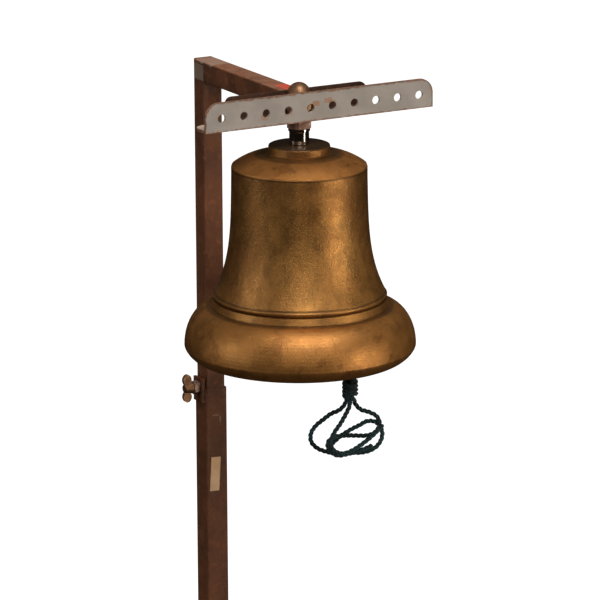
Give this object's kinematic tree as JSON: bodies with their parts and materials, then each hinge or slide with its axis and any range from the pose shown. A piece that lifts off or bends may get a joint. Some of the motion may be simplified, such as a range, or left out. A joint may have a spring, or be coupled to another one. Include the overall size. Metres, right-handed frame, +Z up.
{
  "type": "ship bell on adjustable stand",
  "caption": "Cast brass bell with an inside clapper and rope, hung by a stud from a perforated crossbar on a height-adjustable square-tube stand.",
  "frame": {"origin": "middle of the base's footprint, on the floor", "axes": "+Z up; the bell hangs in front of the mast, towards -Y; +X runs along the crossbar towards its longer end"},
  "size_m": [0.44, 0.425, 1.3105],
  "materials": {
    "bell_brass": "aged, dull golden brown with brighter worn edges",
    "rusty_steel": "mild steel with an even red-brown rust",
    "grey_paint": "worn warm grey paint with rust at the edges",
    "bronze_nut": "browned and satin",
    "chrome": "polished",
    "rusty_fixings": "zinc gone brown with rust",
    "bright_fixings": "dull zinc",
    "clapper_iron": "dark forged iron",
    "ball_bronze": "dull cast bronze, bright where it strikes",
    "black_plastic": "moulded",
    "foot_rubber": "matt",
    "label_paper": "yellowed blank paper",
    "teal_rope": "laid polypropylene rope, dark blue-green"
  },
  "bodies": {
    "stand": {"front_leg": "rusty_steel", "rear_leg": "rusty_steel", "base_spine": "rusty_steel", "leg_end_caps": "black_plastic", "rubber_feet": "foot_rubber", "foot_screws": "bright_fixings", "mast_gussets": "rusty_steel", "mast_outer": "rusty_steel", "clamp_plate": "rusty_steel", "clamp_nut": "rusty_fixings", "paper_label": "label_paper"},
    "clamp": {"clamp_screw": "bronze_nut"},
    "head": {"mast_inner": "rusty_steel", "arm": "rusty_steel", "arm_angle": "rusty_steel", "crossbar": "grey_paint", "bell_stud": "bright_fixings", "acorn_nut": "bronze_nut", "spring_washer": "rusty_fixings", "top_washer": "rusty_fixings", "jam_nut": "rusty_fixings", "chrome_spacer": "chrome", "bell": "bell_brass", "inner_washer": "bright_fixings", "inner_nut": "bright_fixings", "clapper_clevis": "clapper_iron", "clapper_pin": "bright_fixings", "pin_washer": "bright_fixings", "split_pin": "bright_fixings"},
    "clapper": {"clapper_stem": "clapper_iron", "clapper_ball": "ball_bronze"},
    "rope": {"rope_hitch": "teal_rope", "rope_left": "teal_rope", "rope_right": "teal_rope", "rope_middle": "teal_rope"}
  },
  "joints": [
    {"name": "mast_slide", "type": "slide", "parent": "stand", "child": "head", "axis": [0, 0, 1], "range_m": [-0.3, 0.2]},
    {"name": "clamp_turn", "type": "hinge", "parent": "stand", "child": "clamp", "pos_m": [-0.0125, 0.12, 0.95], "axis": [-1, 0, 0], "range_deg": [0, 270]},
    {"name": "clapper_swing", "type": "hinge", "parent": "head", "child": "clapper", "pos_m": [0, -0.075, 1.1775], "axis": [0, -1, 0], "range_deg": [-48.6, 10.6]},
    {"name": "rope_hang", "type": "hinge", "parent": "clapper", "child": "rope", "pos_m": [0.05795, -0.075, 1.0092], "axis": [0, -1, 0], "range_deg": [-10.6, 48.6]}
  ],
  "couplings": [
    {"joint": "rope_hang", "follows": "clapper_swing", "ratio": -1}
  ]
}
